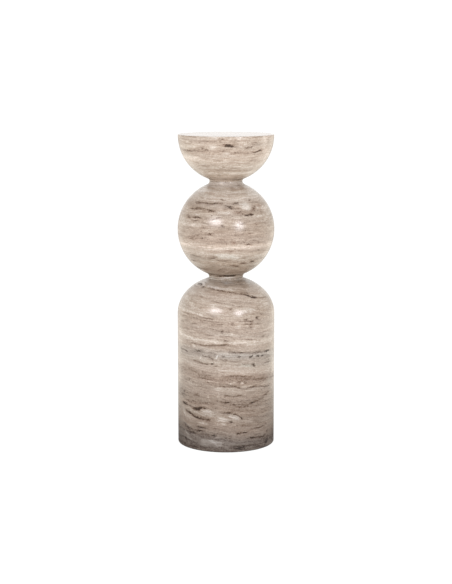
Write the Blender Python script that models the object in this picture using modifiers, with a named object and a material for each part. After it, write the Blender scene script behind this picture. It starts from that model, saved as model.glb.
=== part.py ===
"""A turned stone column: a half-sphere with a flat top, a full sphere and a domed drum.

The three blocks stand on one another at two narrow necks. Metres, +Z up, and the
origin is at the centre of the foot.
"""

import math

import bpy

# Heights of the foot, the two joints and the flat top
TOTAL_HEIGHT = 0.810
UPPER_JOINT = 0.690
LOWER_JOINT = 0.440
JOINT_GAP = 0.0003

# The half-sphere: it springs just under the rim and is almost round
TOP_RADIUS = 0.1240
RIM_ARRIS = 0.0020
TOP_DEPTH = 0.1210

# The sphere, whose centre lies midway between the joints
SPHERE_RADIUS = 0.1255
SPHERE_CENTRE = (UPPER_JOINT + LOWER_JOINT) / 2

# The drum, with a flattened dome as its shoulder
DRUM_RADIUS = 0.1265
DOME_SPRING = 0.3445
DOME_RISE = 0.0985
FOOT_EASING = 0.0040

# The necks at their narrowest
UPPER_NECK_RADIUS = 0.0426
LOWER_NECK_RADIUS = 0.0442

# How finely the curves are divided, and how near the axis points are joined
TURN_STEPS = 64
QUARTER_CURVE_STEPS = 16
FILLET_STEPS = 4
EDGE_STEPS = 3
AXIS_MERGE = 0.00001
# The search for a neck's fillet: the range of its angle on the curve, and the halvings
FILLET_ANGLES = (0.3, 1.568)
FILLET_HALVINGS = 50

COLLECTION_NAME = "decorative_column"
STONE_COLOUR = (0.50, 0.42, 0.355, 1.0)
STONE_ROUGHNESS = 0.18
STONE_IOR = 1.55


def curve_point(radius, rise, centre_z, angle):
    """The (x, z) point of a round or flattened curve at an angle above its widest circle."""
    return radius * math.cos(angle), centre_z + rise * math.sin(angle)


def curve_normal(radius, rise, angle):
    """The outward unit normal (x, z) of the same curve."""
    x = math.cos(angle) / radius
    z = math.sin(angle) / rise
    length = math.hypot(x, z)
    return x / length, z / length


def neck_fillet(curve, joint_z, neck_radius, side):
    """The fillet that leaves a curve smoothly and stands upright at the joint.

    side is 1 where the neck is above the curve and -1 where it is below. It gives
    the fillet's radius and the angle at which it leaves the curve.
    """

    def fillet_radius(angle):
        z = curve_point(*curve, angle)[1]
        return (joint_z - z) / curve_normal(*curve[:2], angle)[1]

    def too_wide(angle):
        x = curve_point(*curve, angle)[0]
        normal_x = curve_normal(*curve[:2], angle)[0]
        return x + fillet_radius(angle) * (normal_x - 1) > neck_radius

    near, far = (angle * side for angle in FILLET_ANGLES)
    for _ in range(FILLET_HALVINGS):
        middle = (near + far) / 2
        if too_wide(middle):
            near = middle
        else:
            far = middle
    return fillet_radius(near), near


def curve_arc(curve, start, end):
    """Points along a round or flattened curve, between two angles."""
    count = max(1, round(abs(end - start) / (math.pi / 2) * QUARTER_CURVE_STEPS))
    return [
        curve_point(*curve, start + (end - start) * step / count)
        for step in range(count + 1)
    ]


def circle_arc(centre, radius, start, end, count):
    """Points along a circle, between two angles measured from +X."""
    return [
        (
            centre[0] + radius * math.cos(start + (end - start) * step / count),
            centre[1] + radius * math.sin(start + (end - start) * step / count),
        )
        for step in range(count + 1)
    ]


def neck_arc(curve, joint_z, neck_radius, side):
    """The neck's fillet, from the curve to the joint, and the angle where it leaves the curve."""
    radius, angle = neck_fillet(curve, joint_z, neck_radius, side)
    normal = curve_normal(*curve[:2], angle)
    centre = (neck_radius + radius, joint_z)
    leaves = math.pi + math.atan2(normal[1], normal[0])
    return circle_arc(centre, radius, leaves, math.pi, FILLET_STEPS), angle


def joint_face(points, joint_z, side):
    """The same points with the last one moved back by half of the joint's gap."""
    x = points[-1][0]
    return points[:-1] + [(x, joint_z - side * JOINT_GAP / 2)]


def half_sphere_profile():
    """From the middle of the flat top, over the rim, down to the upper neck."""
    curve = (TOP_RADIUS, TOP_DEPTH, TOTAL_HEIGHT - RIM_ARRIS)
    rim = circle_arc(
        (TOP_RADIUS - RIM_ARRIS, TOTAL_HEIGHT - RIM_ARRIS),
        RIM_ARRIS,
        math.pi / 2,
        0,
        EDGE_STEPS,
    )
    neck, leaves = neck_arc(curve, UPPER_JOINT, UPPER_NECK_RADIUS, -1)
    neck = joint_face(neck, UPPER_JOINT, -1)
    body = curve_arc(curve, 0, leaves)
    return [(0, TOTAL_HEIGHT)] + rim + body[1:] + neck[1:] + [(0, neck[-1][1])]


def sphere_profile():
    """From the upper joint, round the sphere, to the lower joint."""
    curve = (SPHERE_RADIUS, SPHERE_RADIUS, SPHERE_CENTRE)
    above, top_angle = neck_arc(curve, UPPER_JOINT, UPPER_NECK_RADIUS, 1)
    below, bottom_angle = neck_arc(curve, LOWER_JOINT, LOWER_NECK_RADIUS, -1)
    above = joint_face(above, UPPER_JOINT, 1)
    below = joint_face(below, LOWER_JOINT, -1)
    body = curve_arc(curve, top_angle, bottom_angle)
    start = (0, above[-1][1])
    return [start] + above[::-1] + body[1:] + below[1:] + [(0, below[-1][1])]


def drum_profile():
    """From the lower joint, over the dome, down the drum and round the foot's edge."""
    curve = (DRUM_RADIUS, DOME_RISE, DOME_SPRING)
    neck, leaves = neck_arc(curve, LOWER_JOINT, LOWER_NECK_RADIUS, 1)
    neck = joint_face(neck, LOWER_JOINT, 1)
    foot = circle_arc(
        (DRUM_RADIUS - FOOT_EASING, FOOT_EASING),
        FOOT_EASING,
        0,
        -math.pi / 2,
        EDGE_STEPS,
    )
    dome = curve_arc(curve, leaves, 0)
    return [(0, neck[-1][1])] + neck[::-1] + dome[1:] + foot + [(0, 0)]


def stone_material(name):
    """Polished pale stone."""
    material = bpy.data.materials.new(name)
    material.use_nodes = True
    shader = material.node_tree.nodes["Principled BSDF"]
    shader.inputs["Base Color"].default_value = STONE_COLOUR
    shader.inputs["Roughness"].default_value = STONE_ROUGHNESS
    shader.inputs["Metallic"].default_value = 0.0
    shader.inputs["IOR"].default_value = STONE_IOR
    material.diffuse_color = STONE_COLOUR
    return material


def turned_block(name, profile, collection):
    """One closed block, turned about the column's axis from its outer profile."""
    mesh = bpy.data.meshes.new(name)
    edges = [(index, index + 1) for index in range(len(profile) - 1)]
    mesh.from_pydata([(x, 0, z) for x, z in profile], edges, [])
    block = bpy.data.objects.new(name, mesh)
    collection.objects.link(block)
    mesh.materials.append(stone_material(name + "_stone"))
    screw = block.modifiers.new("Turn", "SCREW")
    screw.axis = "Z"
    screw.angle = 2 * math.pi
    screw.steps = TURN_STEPS
    screw.render_steps = TURN_STEPS
    screw.use_merge_vertices = True
    screw.merge_threshold = AXIS_MERGE
    screw.use_smooth_shade = True
    # Keeps the smooth shading of the curves off the flat ends
    block.modifiers.new("Flat ends", "WEIGHTED_NORMAL")
    return block


def clear_scene():
    """Removes every object of the scene."""
    for obj in list(bpy.data.objects):
        bpy.data.objects.remove(obj, do_unlink=True)


def build_column():
    """Makes the three blocks in a collection of their own."""
    collection = bpy.data.collections.new(COLLECTION_NAME)
    bpy.context.scene.collection.children.link(collection)
    turned_block("half_sphere_top", half_sphere_profile(), collection)
    turned_block("sphere", sphere_profile(), collection)
    turned_block("domed_drum", drum_profile(), collection)


clear_scene()
build_column()
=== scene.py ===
"""Looks of a turned stone column: polished travertine, on a pale floor in soft studio light."""

import math
import random
from typing import NamedTuple

import bpy
import numpy as np
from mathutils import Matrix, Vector


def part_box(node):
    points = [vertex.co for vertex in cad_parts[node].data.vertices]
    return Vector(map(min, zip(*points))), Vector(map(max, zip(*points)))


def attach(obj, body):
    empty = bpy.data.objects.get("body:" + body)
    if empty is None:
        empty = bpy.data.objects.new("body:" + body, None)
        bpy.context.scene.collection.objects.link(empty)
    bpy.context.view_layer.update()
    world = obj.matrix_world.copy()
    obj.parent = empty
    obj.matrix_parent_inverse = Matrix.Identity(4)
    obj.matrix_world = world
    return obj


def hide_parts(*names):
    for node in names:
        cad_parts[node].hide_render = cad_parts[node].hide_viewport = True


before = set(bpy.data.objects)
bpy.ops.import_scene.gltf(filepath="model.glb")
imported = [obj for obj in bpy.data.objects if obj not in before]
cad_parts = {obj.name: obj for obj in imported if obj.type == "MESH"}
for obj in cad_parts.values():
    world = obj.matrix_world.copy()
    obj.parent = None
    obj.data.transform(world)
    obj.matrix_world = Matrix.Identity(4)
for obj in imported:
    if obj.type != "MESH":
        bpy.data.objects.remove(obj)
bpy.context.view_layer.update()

# The photograph's frame, in pixels, and the camera that its outline was fitted with
PHOTO_WIDTH = 452
PHOTO_HEIGHT = 584
CAMERA_DISTANCE = 3.776
CAMERA_HEIGHT = 1.009
CAMERA_PITCH = math.radians(9.18)
CAMERA_LENS = 90.16
SENSOR_SIZE = 36.0
CAMERA_CLIP = (0.05, 50)
# Where a line of sight is searched for the stone, from the camera's distance, and how finely
SIGHT_RANGE = (-0.16, 0.03)
SIGHT_STEP = 0.00025

# The turned profiles, whose other sizes come from the frame
RIM_ARRIS = 0.0020
TOP_DEPTH = 0.1210
DOME_SPRING = 0.3445
DOME_RISE = 0.0985
FOOT_EASING = 0.0040
UPPER_NECK_RADIUS = 0.0426
LOWER_NECK_RADIUS = 0.0442
JOINT_ARRIS = 0.0006
FILLET_ANGLES = (0.3, 1.568)
FILLET_HALVINGS = 50

# The surroundings: dim on the camera's side, white behind the column, soft light overhead and
# a warm tint at the sides
WORLD_FRONT = 0.30
WORLD_BACK = 1.24
WORLD_RISE = 5.0
WORLD_TOP = 1.0
WORLD_TOP_RISE = 1.5
WORLD_SIDES = (1.0, 0.955, 0.88, 1.0)

# The floor: how much it glows of itself to the eye, and the light that it throws up on the
# column, which is less close to the foot than farther out, and least straight behind it
FLOOR_WHITE = 0.15
FLOOR_ROUGHNESS = 0.9
FLOOR_GLOW = 0.92
FLOOR_REACH = 40.0
FLOOR_DROP = 0.0002
BOUNCE_REACH = (0.22, 0.95)
BOUNCE = (0.0, 1.6)
BOUNCE_BACK = 0.40
BACK_REACH = (0.80, 0.97)
BOUNCE_COLOUR = (1.0, 0.965, 0.91, 1.0)
BEHIND_COLOUR = (1.0, 0.95, 0.86, 1.0)
BEHIND_REACH = (-0.4, 0.5)
WHITE = (1, 1, 1, 1)

# The two round soft boxes: azimuth from the camera's side, elevation, distance, size, power
LEFT_BOX = (-25.6, 24.3, 2.6, (1.4, 0.58), 27.5)
RIGHT_BOX = (31.0, 14.8, 2.6, (0.9, 0.75), 22.5)
BOX_COLOUR = (0.99, 0.985, 1.04)
LIGHTS_AIM = 0.45

# The fine meshes
COLUMNS = 400
CURVE_STEP = 0.0020
FILLET_STEP = 0.0010
EDGE_STEP = 0.0005
STRAIGHT_STEP = 0.0080
DISC_STEP = 0.0150
LEAST_CURVE_STEPS = 2
LEAST_CIRCLE_STEPS = 4
SHARP_ANGLE = math.radians(50)

# The bake's map: the turned side is one wide band, and the flat ends are discs below it
SIDE_BAND = (0.30, 1.00)
DISC_RADIUS = 0.13
DISC_CENTRES = ((0.15, 0.14), (0.45, 0.14))

# A small chip in the foot's edge, where the photograph shows it
CHIP = (247.0, 449.0)
CHIP_INSET = 0.0010
CHIP_REACH = 0.0045
CHIP_DEPTH = 0.0012


class Patch(NamedTuple):
    """A soft-edged blotch of the figure. Most rows are marks of the stone; some paint highlights,
    reflections and shade. Its place and half sizes are in the photograph's pixels, its tilt in degrees,
    down to the right. Tone is lighter above 0, warm is pinker and grey duller.
    """

    x: float
    y: float
    across: float
    down: float
    tilt: float
    tone: float
    warm: float = 0
    grey: float = 0


class Vein(NamedTuple):
    """A line of the figure through points of the photograph, with its half width in pixels."""

    points: tuple
    width: float
    tone: float
    warm: float = 0
    grey: float = 0
    broken: bool = False


class Bed(NamedTuple):
    """The stone's tone at a height of its bedding, in metres, all the way round."""

    height: float
    tone: float
    warm: float = 0
    grey: float = 0


# Base colour by tone, from the darkest flecks to the palest bands
TONES = (
    (0.00, (0.045, 0.030, 0.022)),
    (0.10, (0.108, 0.070, 0.050)),
    (0.20, (0.148, 0.101, 0.073)),
    (0.30, (0.190, 0.138, 0.103)),
    (0.45, (0.262, 0.202, 0.157)),
    (0.60, (0.330, 0.266, 0.215)),
    (0.75, (0.385, 0.322, 0.268)),
    (0.90, (0.450, 0.391, 0.337)),
    (1.00, (0.540, 0.478, 0.420)),
)

# In the tables below, each row of BEDS is a Bed's values, and each row of PATCHES a Patch's

# The half-sphere's figure
TOP_DIP = 0.0
TOP_BEDS = (
    (0.69, 0.62),
    (0.7, 0.6),
    (0.709, 0.72),
    (0.716, 0.82, -0.2),
    (0.723, 0.66),
    (0.735, 0.76),
    (0.745, 0.72),
    (0.758, 0.74),
    (0.766, 0.6, 0.1),
    (0.773, 0.55, 0.2),
    (0.781, 0.64),
    (0.79, 0.62),
    (0.8, 0.62),
    (0.81, 0.72),
)
TOP_PATCHES = (
    # Under the rim
    (191.5, 136.8, 4.5, 0.9, 12, -0.35),
    (207, 138.6, 6, 1.4, 5, -0.15),
    (220, 139, 7, 1.4, 0, -0.36),
    (237, 137.6, 9, 0.9, 0, -0.2),
    (257, 137.4, 5, 0.9, -8, -0.2),
    (214, 138.2, 2.2, 1.2, 0, 0.25, 0, 0.3),
    (240, 138.8, 3, 0.9, 0, 0.25),
    (190.4, 141.6, 1.2, 0.8, 0, -0.35),
    (187.5, 142, 1, 1.2, 0, 0.3),
    (209, 141.6, 8.5, 0.9, 2, -0.4),
    (220.2, 141.4, 1.3, 0.9, 0, -0.52),
    (235.3, 140.4, 1.6, 1, 0, -0.3),
    (254, 142.5, 4, 2.5, -30, -0.14),
    # The dark blotch
    (228, 145.6, 9, 2.8, 0, -0.16),
    (228.6, 146.1, 4.8, 1.5, 5, -0.5),
    # Around it
    (242, 144.8, 4.5, 1.8, 0, 0.28),
    # Painted reflection: the pale upright streak at the bowl's right edge
    (265, 139.5, 2.6, 5.5, 0, 0.38),
    (198, 169, 8, 4.5, 40, -0.18),
    (193, 153.5, 4, 1.5, 0, -0.2),
    # Its tail and the marks beside it
    (227.8, 144.4, 1.8, 1, 0, -0.34),
    (235, 147, 4, 0.9, 12, -0.35),
    (246.5, 148.5, 2, 0.9, -10, -0.42),
    (250.5, 147.5, 2.2, 0.8, -5, -0.6),
    # Left half
    (200.5, 147.8, 3, 1.4, 0, -0.32),
    (206, 149, 3, 0.9, 12, -0.25),
    (190, 145.8, 9, 1.5, 0, 0.22),
    (212.5, 147.4, 3.8, 2.4, 0, 0.3, 0, 0.2),
    (192, 151.2, 9, 2.3, 0, -0.22),
    (223.5, 151.3, 1.8, 0.8, 0, -0.25),
    (206, 153.6, 4, 1.4, 25, -0.15),
    (212.5, 154.5, 1.2, 0.8, 0, -0.35, 0.3),
    (189, 158, 10, 2.5, 6, 0.25, 0.2),
    (208, 159.3, 6, 0.9, 3, -0.2),
    (218, 160.4, 5, 1.4, 0, -0.34),
    (197, 163.2, 4, 0.9, 5, -0.22),
    (206, 166, 4, 1.1, 8, -0.2),
    (215.5, 166, 2.5, 0.8, 10, -0.22, -0.3),
    (223.3, 167.4, 1.3, 0.7, 0, -0.4),
    # Right half
    (226, 153.7, 4, 1.8, 0, 0.24, 0, 0.3),
    (233, 154.3, 3, 0.7, 0, -0.2),
    (257.8, 151.6, 4, 1.1, -7, -0.74),
    # Between the others
    (234, 150.9, 4, 1.1, 0, 0.26),
    (205, 157.8, 5, 1.3, 5, -0.28),
    (197, 155.8, 4, 1.2, 5, -0.24),
    (220, 173, 3, 1, 5, -0.26),
    (260, 156, 4, 1.6, -5, -0.3),
    (247, 145, 3, 1.2, 0, 0.26),
    (260, 161, 3, 1.2, -10, -0.26),
    (268, 147, 2.5, 2.5, 0, -0.24),
    # Right half, lower down
    (232, 159.6, 8, 0.9, 2, -0.18),
    (254, 160.1, 4.5, 1.4, -5, -0.28),
    (231, 162.6, 5, 0.8, 0, -0.2),
    (234, 168.1, 5, 1.4, 0, -0.15),
    (267.5, 150, 5.5, 14, 15, 0.22, 0.3),
    # Towards the neck
    (226, 170.7, 14, 1, 0, -0.3, -0.4),
    (240, 173.2, 13, 1.4, 0, 0.22),
    (208, 173.6, 6, 1, 0, 0.18),
    (219.5, 175.4, 2.2, 0.8, 15, -0.5, -0.8),
    (238, 176.5, 6, 0.7, 0, -0.15, -0.5),
    (238, 179.6, 6, 0.9, -4, -0.3, -0.6),
)
TOP_VEINS = (
    Vein(((228, 152.4), (240, 152.8), (252, 152.6), (258, 151.5), (264, 149.2)), 0.8, -0.28),
    Vein(((183, 149.2), (190, 150), (198, 148.8), (204, 149.2), (209, 150.6)), 0.7, -0.2, broken=True),
)

# The sphere's figure
SPHERE_DIP = 0.01
SPHERE_BEDS = (
    (0.44, 0.44, -0.4),
    (0.452, 0.44, -0.2),
    (0.462, 0.53),
    (0.47, 0.5),
    (0.48, 0.58, -0.2),
    (0.492, 0.64),
    (0.503, 0.68, -0.2),
    (0.512, 0.76),
    (0.521, 0.66),
    (0.53, 0.72, 0.2),
    (0.537, 0.56, 0.3),
    (0.546, 0.48, 0.3),
    (0.56, 0.49, 0.2),
    (0.57, 0.5, 0.1),
    (0.583, 0.6),
    (0.6, 0.57),
    (0.617, 0.61),
    (0.63, 0.57),
    (0.642, 0.58),
    (0.652, 0.74),
    (0.665, 0.76),
    (0.678, 0.8),
    (0.69, 0.74, 0, 0.3),
)
SPHERE_PATCHES = (
    # Under the upper neck
    (210.5, 187.6, 3.5, 0.9, 20, -0.32),
    (233, 188.3, 2, 1, 10, -0.38),
    (240, 186.5, 4.5, 1.6, 42, -0.28, 0.2),
    (204, 190.5, 6, 1.8, -8, 0.18, 0, 0.4),
    (221, 187.6, 8, 1.8, 0, 0.16),
    (211.5, 194.3, 2.8, 0.8, 5, -0.46),
    (240, 193.8, 10, 0.9, -4, -0.16),
    (202, 197.6, 3, 0.8, 35, -0.2),
    (212, 197.1, 5, 0.7, 0, 0.15),
    (214, 199.1, 8, 0.7, 2, -0.16),
    (222, 199.4, 2, 0.7, 10, -0.48),
    # The two dark lines on the left and what surrounds them
    (217, 203.4, 2.5, 0.7, 0, -0.25),
    (187.8, 203.8, 1.6, 1.2, 30, -0.3),
    (207, 206, 16, 2.4, 3, -0.05, 0, 0.2),
    (226, 195, 9, 2.2, 0, -0.12),
    (197.5, 208.3, 2.5, 0.8, 0, -0.25),
    (210, 211.6, 3, 0.8, 5, -0.2),
    (184, 209, 4, 6, 0, 0.16),
    # Middle, above the highlights
    (229, 207.4, 4.5, 1.5, 20, -0.68, 0, 0.3),
    (224, 209.3, 3, 0.8, -5, -0.32),
    (235, 208.2, 5, 0.9, 8, -0.32),
    (235.5, 203.6, 3.4, 1.1, -5, -0.42, 0, 0.3),
    (238, 202.8, 1, 0.8, 0, -0.35),
    (245, 205.5, 6, 3, 20, 0.36, -0.3, 0.3),
    (246.5, 209, 5, 1.5, 10, 0.22, 0, 0.2),
    (249.7, 200, 1.5, 0.9, 0, -0.34),
    (238, 212.4, 5, 1.8, 10, -0.2, 0.3),
    # Pale mark, partly painted highlight sheen above the highlights
    (224, 212.7, 8, 1.2, 0, 0.42, 0, 0.3),
    # The reddish ring on the right
    (254, 208.2, 2, 2.2, 10, -0.42, 0.6),
    (258.2, 205.2, 3, 0.9, 10, -0.22, 0.8),
    (260.6, 208, 1, 2.4, 0, -0.12, 0.8),
    (257.5, 208.2, 1.5, 1.5, 0, 0.25),
    (252, 211.6, 1.5, 1.1, 0, -0.36, 0.5),
    (247.5, 214.7, 5.2, 1.3, 3, -0.62, 0.4),
    (260.5, 212.6, 2.4, 0.7, -10, -0.25, 0.5),
    (265.4, 214.1, 1.2, 0.8, -10, -0.26, 0.4),
    (259, 216.2, 5, 1.1, -5, 0.38),
    # The dark loops on the left
    (188.8, 217, 2.2, 1, 50, -0.42),
    (195.5, 217.2, 3.2, 0.9, 5, -0.6),
    (200.5, 218, 2.6, 0.8, 20, -0.36),
    (195, 220.4, 3.5, 0.7, 5, -0.5),
    (193.5, 218.8, 2, 0.7, 0, 0.22),
    (203.5, 222.3, 2, 0.7, 15, -0.32),
    (209, 224, 3, 0.8, 15, -0.2),
    # Around the highlights
    (220, 218.4, 3.5, 0.7, 0, -0.3, 0.3),
    (224, 216.3, 1.6, 0.6, 0, -0.28),
    (229.5, 215, 1.3, 0.8, 0, -0.22, 0.6),
    (238, 218, 6, 1, 0, 0.22, 0.2),
    (222.2, 225.8, 2, 1.3, 0, -0.4, 0, 0.3),
    (243, 223.4, 4, 1.4, -10, -0.26),
    (257, 223.2, 2.5, 0.8, -5, -0.28, 0.3),
    (264, 222, 4, 0.7, -12, -0.26),
    (188, 224, 10, 2.2, 5, 0.34, 0.1),
    (205, 227.6, 4, 0.8, 5, -0.2),
    # The brown mottled zone
    (198, 234.3, 3, 0.7, 0, -0.26),
    (210.8, 234.6, 3.4, 1.1, 5, -0.42),
    (195, 238, 8, 1.8, 0, -0.12, 0.3),
    (250.5, 233.4, 2.3, 0.7, 0, -0.3, 0.3),
    (247, 229.5, 3, 1.3, 0, -0.16),
    (223, 239.5, 2, 0.7, 0, -0.38, 0.5),
    (246.5, 239.6, 2, 0.8, 0, -0.46, 0.3),
    (254.5, 240.4, 2, 0.7, 0, -0.26),
    (233.8, 242.8, 2.4, 1.9, 0, -0.16, 1),
    (262, 242.6, 5, 0.8, -8, -0.2),
    (249, 244.6, 3.2, 0.9, -5, -0.66, 0.5),
    (226, 242.8, 12, 2.2, 0, -0.15, 0.2),
    (213, 237.4, 7, 0.5, 0, 0.16),
    # Under the pale band
    (186, 243, 6, 1.6, 10, 0.16, 0.2),
    (212, 251.7, 5.5, 0.9, 3, -0.22),
    (229, 251, 4.5, 0.9, 4, -0.35, 0.3),
    (239, 250.7, 3.5, 0.7, 0, -0.22, 0.3),
    (258.3, 250, 1.3, 0.9, 0, -0.38),
    (223, 255.6, 7.5, 1.9, 0, 0.34, -0.7),
    (233.5, 257, 5, 1.6, 5, 0.28, -0.7),
    (257, 255.8, 3, 1.1, -10, 0.22, -0.4),
    (203, 253, 6, 1.5, 3, 0.2),
    (195.5, 256.1, 5, 1.5, 10, -0.28, -0.4),
    (213, 257.6, 3.6, 1.6, 0, -0.48),
    (206, 258.7, 5, 0.9, 5, -0.26),
    (243.8, 258, 1.6, 1.1, 0, -0.32),
    # Towards the lower neck
    (252, 261.4, 1.9, 0.8, -12, -0.66),
    (244, 262.5, 3, 0.8, 0, -0.26),
    (195, 260.3, 6, 0.9, 10, -0.3),
    (226, 260.8, 11, 0.8, -2, -0.25),
    (214, 261.6, 4, 0.6, 0, 0.34),
    (256, 263.7, 5, 0.9, -15, 0.22),
    (206, 263, 5, 1.2, 0, -0.15),
    (236, 266, 4.5, 0.9, 6, -0.44),
    (227, 265.5, 6, 0.7, 0, -0.22),
    (252, 266, 3, 1.5, -20, -0.2),
    (201.5, 268.2, 2.5, 0.6, 5, -0.32),
    (226, 268.8, 12, 0.8, 0, -0.2, -0.5),
    # The dark joint line at the lower neck, partly painted shade in the groove
    (225.5, 276, 7.5, 1, 0, -0.75),
    (212, 274.4, 4, 0.8, 5, -0.38),
    # Painted highlight sheen beside the left highlight, pale marks at the edges that paint the rim's
    # reflection, and a darker mark low on the left
    (211, 215, 5, 1.8, 0, 0.28),
    (183, 219, 3, 4, 0, 0.24),
    (190, 257.5, 5, 3.5, 35, -0.24),
    (265, 208, 3.8, 2.4, 0, 0.42),
    (267, 215.5, 3, 5, 0, 0.24),
    # Between the others
    (254, 194, 4, 1.6, 5, 0.34),
    (235, 191, 3.5, 1.2, 8, -0.28),
    (221, 210, 3, 1, 0, 0.28),
    (199, 214, 5, 1.2, 3, 0.26),
    (188, 208, 2, 1.2, 0, 0.24),
    (195, 226, 5, 1.3, 3, 0.24),
    (263, 249, 5, 3.5, -35, -0.2),
    (187, 253, 4, 1.6, 20, -0.24),
    (211, 198.6, 4, 1, 5, -0.28),
    (236, 263.2, 4, 0.9, 0, 0.26),
    (222, 247, 5, 1, 0, -0.24),
    (252, 214.8, 2.5, 1.1, 0, -0.34),
    (209, 231, 5, 1.2, 0, 0.24),
    (222, 200.6, 5, 1.6, 5, -0.26),
    # The lines at the lower neck: a dark joint line, partly painted shade in the groove, over pale lines
    # that are painted reflection from the fillet's upward-facing side
    (234, 275.2, 4.5, 0.8, -4, -0.36),
    (226, 278.1, 8, 0.8, 0, 0.6, 0, 0.5),
    (211.5, 277, 2.4, 1.1, 0, 0.6, 0, 0.3),
)
SPHERE_VEINS = (
    Vein(((195, 202.1), (204, 202.6), (210, 203.4), (216, 203.3), (223.5, 203.7)), 0.9, -0.52),
    Vein(((190, 208.2), (199, 208.3), (206, 209.8), (212, 211), (216.5, 211.6)), 1, -0.5),
    Vein(((179, 241.8), (190, 244.6), (203, 246.8), (226, 247.7), (245, 247.4), (258, 246.2), (272, 243)),
         1.9, 0.34, 0.3),
    Vein(((232, 262.2), (244, 262.1), (252, 261.2), (258, 259.2), (264, 256.2)), 1, -0.3, broken=True),
    Vein(((199, 191.6), (214, 191.4), (229, 191.5)), 0.5, -0.18, broken=True),
)

# The domed drum's figure
DRUM_DIP = 0.088
DRUM_BEDS = (
    (0, 0.24, 0, 0.5),
    (0.012, 0.3, 0, 0.5),
    (0.024, 0.38, 0, 0.5),
    (0.036, 0.31, 0, 0.5),
    (0.046, 0.48, 0, 0.2),
    (0.06, 0.5, 0.2),
    (0.085, 0.54, 0.1),
    (0.1, 0.52),
    (0.112, 0.47, 0.2),
    (0.128, 0.43, 0.1),
    (0.15, 0.48, 0.2),
    (0.166, 0.54),
    (0.178, 0.48, 0.1),
    (0.19, 0.45, 0.4),
    (0.203, 0.48, 0.3),
    (0.212, 0.68, 0.1),
    (0.228, 0.68, -0.2),
    (0.24, 0.58, -0.2, 0.2),
    (0.256, 0.54, -0.1, 0.3),
    (0.268, 0.6),
    (0.28, 0.58),
    (0.3, 0.58, 0.1),
    (0.318, 0.57, 0.2),
    (0.338, 0.57, 0.1),
    (0.352, 0.66),
    (0.375, 0.68),
    (0.392, 0.62),
    (0.41, 0.58),
    (0.424, 0.64),
    (0.436, 0.58, -0.4),
    (0.45, 0.54, -0.4),
)
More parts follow.
